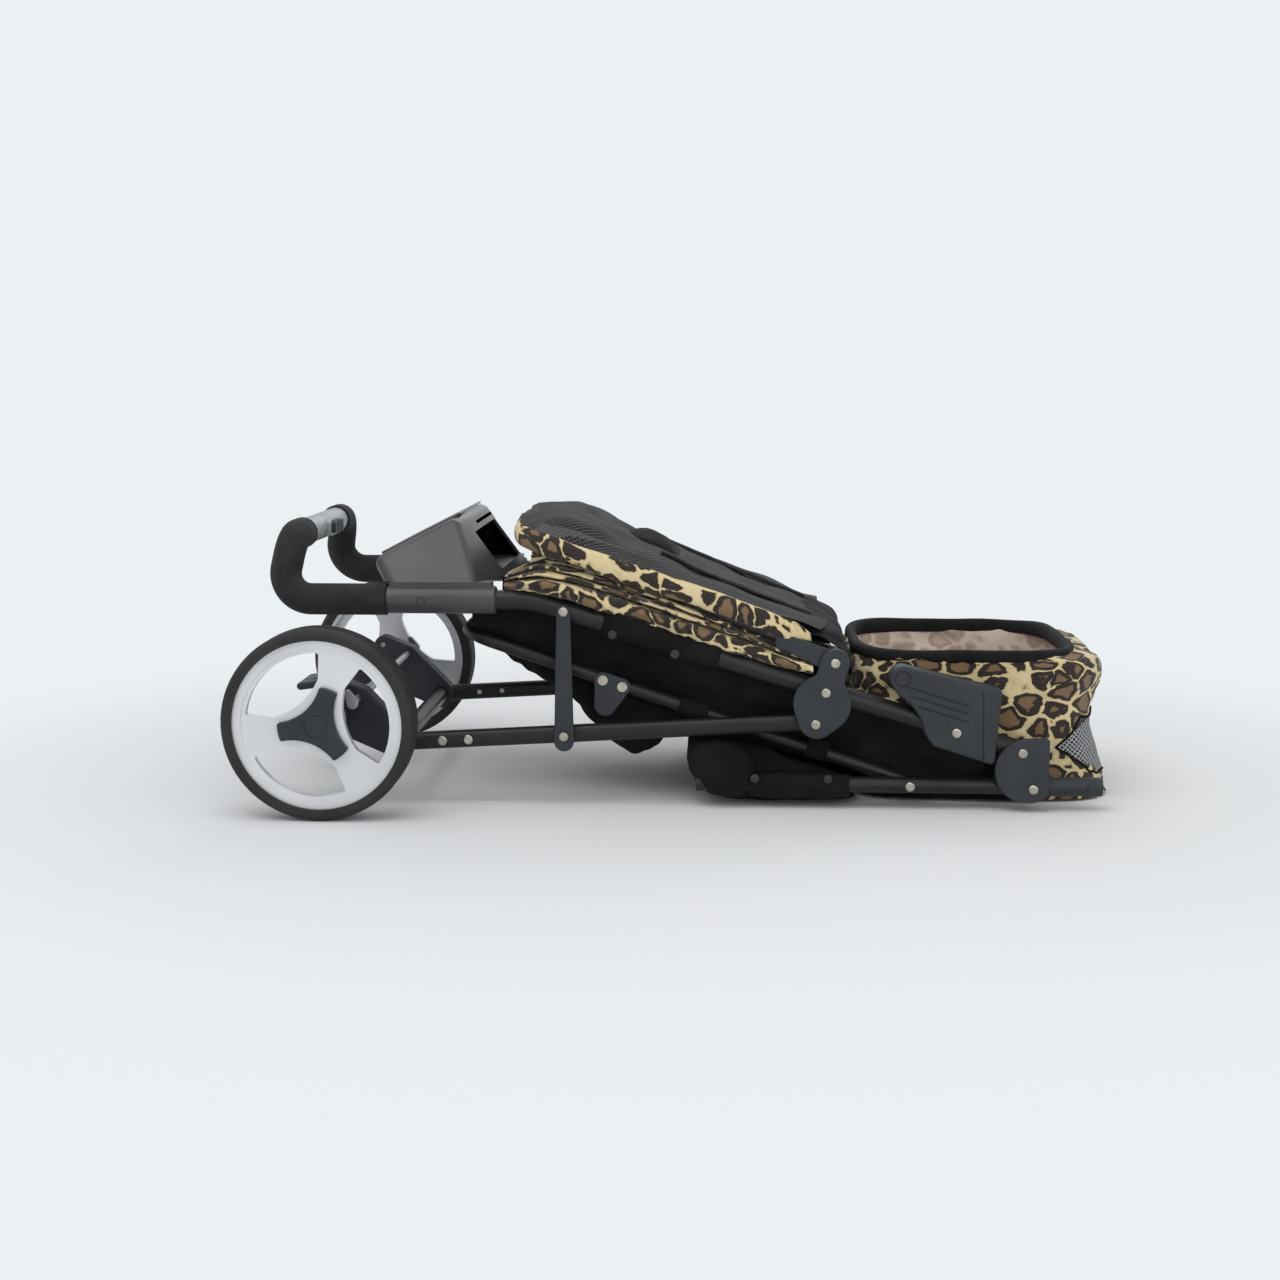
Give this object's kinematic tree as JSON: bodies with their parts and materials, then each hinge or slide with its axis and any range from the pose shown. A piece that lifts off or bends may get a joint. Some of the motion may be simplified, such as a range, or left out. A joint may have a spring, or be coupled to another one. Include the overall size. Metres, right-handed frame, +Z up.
{
  "type": "folding pet stroller",
  "caption": "Folded pet stroller frame with print fabric bag, mesh canopy, handle tray, foot brake and rear wheels; front wheels taken off.",
  "frame": {"origin": "middle of the length and width, on the floor, stroller folded and lying on its rails", "axes": "+X from the handle to the bag front, +Y across from the near side to the far side, +Z up"},
  "size_m": [0.9752, 0.503, 0.3227],
  "materials": {
    "black_tube": "satin powder coat",
    "dark_plastic": "fine moulded texture",
    "grey_plastic": "fine moulded texture",
    "silver_rim": "silver paint",
    "tyre_rubber": "matt tread",
    "grip_foam": "fine foam",
    "nickel": "warm nickel plate",
    "steel": "plain",
    "print_fabric": "short-pile animal print",
    "black_fabric": "woven and mesh"
  },
  "bodies": {
    "front_frame": {"front_rail_near": "black_tube", "front_rail_far": "black_tube", "rail_cross_tube": "black_tube", "front_socket_near": "dark_plastic", "front_socket_far": "dark_plastic", "rail_rivets": "nickel", "bag_tub": "print_fabric", "bag_floor": "black_fabric"},
    "main_frame": {"main_tube_near": "black_tube", "main_tube_far": "black_tube", "handle_tube_near": "black_tube", "handle_tube_far": "black_tube", "grip_near": "grip_foam", "grip_far": "grip_foam", "release_housing": "grey_plastic", "tray_body": "dark_plastic", "tray_lid": "dark_plastic", "tray_collar_near": "dark_plastic", "tray_collar_far": "dark_plastic", "hinge_plate_near": "dark_plastic", "hinge_plate_far": "dark_plastic", "front_plate_near": "dark_plastic", "front_plate_far": "dark_plastic", "fin_bracket_near": "dark_plastic", "fin_bracket_far": "dark_plastic", "frame_rivets": "nickel", "back_panel": "print_fabric"},
    "rear_legs": {"rear_leg_near": "black_tube", "rear_leg_far": "black_tube", "axle_bracket_near": "dark_plastic", "axle_bracket_far": "dark_plastic", "leg_rivets": "nickel", "stub_axles": "steel", "rear_cross_tube": "black_tube"},
    "floor_frame": {"floor_tube_near": "black_tube", "floor_tube_far": "black_tube", "floor_cross_tube": "black_tube", "floor_brace_near": "dark_plastic", "floor_brace_far": "dark_plastic", "floor_rivets": "nickel", "storage_basket": "black_fabric"},
    "canopy": {"canopy_hoop": "black_tube", "canopy_arm_near": "dark_plastic", "canopy_arm_far": "dark_plastic", "canopy_cover": "black_fabric"},
    "wheel_near": {"tyre_near": "tyre_rubber", "wheel_rim_near": "silver_rim", "hub_cap_near": "dark_plastic", "brake_ring_near": "dark_plastic"},
    "wheel_far": {"tyre_far": "tyre_rubber", "wheel_rim_far": "silver_rim", "hub_cap_far": "dark_plastic", "brake_ring_far": "dark_plastic"},
    "brake": {"brake_rod": "steel", "brake_pedal": "dark_plastic"},
    "latch": {"latch_bar": "dark_plastic"},
    "release": {"release_button": "dark_plastic"},
    "socket_button_near": {"socket_button_near": "dark_plastic"},
    "socket_button_far": {"socket_button_far": "dark_plastic"}
  },
  "joints": [
    {"name": "main_fold", "type": "hinge", "parent": "front_frame", "child": "main_frame", "pos_m": [0.395, 0, 0.026], "axis": [0, 1, 0], "range_deg": [0, 43], "deforming": ["back_panel", "storage_basket"]},
    {"name": "rear_leg_fold", "type": "hinge", "parent": "main_frame", "child": "rear_legs", "pos_m": [0.1554, 0, 0.0967], "axis": [0, -1, 0], "range_deg": [0, 58.54]},
    {"name": "floor_frame_fold", "type": "hinge", "parent": "front_frame", "child": "floor_frame", "pos_m": [0.261, 0, 0.026], "axis": [0, -1, 0], "range_deg": [0, 4]},
    {"name": "canopy_fold", "type": "hinge", "parent": "main_frame", "child": "canopy", "pos_m": [0.17613, 0, 0.16492], "axis": [0, 1, 0], "range_deg": [0, 60], "deforming": ["back_panel"]},
    {"name": "latch_swing", "type": "hinge", "parent": "main_frame", "child": "latch", "pos_m": [-0.1228, -0.1676, 0.21989], "axis": [0, 1, 0], "range_deg": [0, 60]},
    {"name": "wheel_near_spin", "type": "hinge", "parent": "rear_legs", "child": "wheel_near", "pos_m": [-0.3826, -0.23, 0.105], "axis": [0, 1, 0], "continuous": true},
    {"name": "wheel_far_spin", "type": "hinge", "parent": "rear_legs", "child": "wheel_far", "pos_m": [-0.3826, 0.23, 0.105], "axis": [0, 1, 0], "continuous": true},
    {"name": "brake_press", "type": "hinge", "parent": "rear_legs", "child": "brake", "pos_m": [-0.3516, 0, 0.122], "axis": [0, -1, 0], "range_deg": [0, 25]},
    {"name": "release_press", "type": "slide", "parent": "main_frame", "child": "release", "axis": [-1, 0, 0], "range_m": [0, 0.004], "stiffness_N_per_m": 600, "springref_m": -0.002},
    {"name": "socket_press_near", "type": "slide", "parent": "front_frame", "child": "socket_button_near", "axis": [0, 1, 0], "range_m": [0, 0.0025], "stiffness_N_per_m": 900, "springref_m": -0.001},
    {"name": "socket_press_far", "type": "slide", "parent": "front_frame", "child": "socket_button_far", "axis": [0, -1, 0], "range_m": [0, 0.0025], "stiffness_N_per_m": 900, "springref_m": -0.001}
  ],
  "couplings": [
    {"joint": "rear_leg_fold", "follows": "main_fold", "ratio": 1.3614},
    {"joint": "floor_frame_fold", "follows": "main_fold", "ratio": 0.093023}
  ]
}
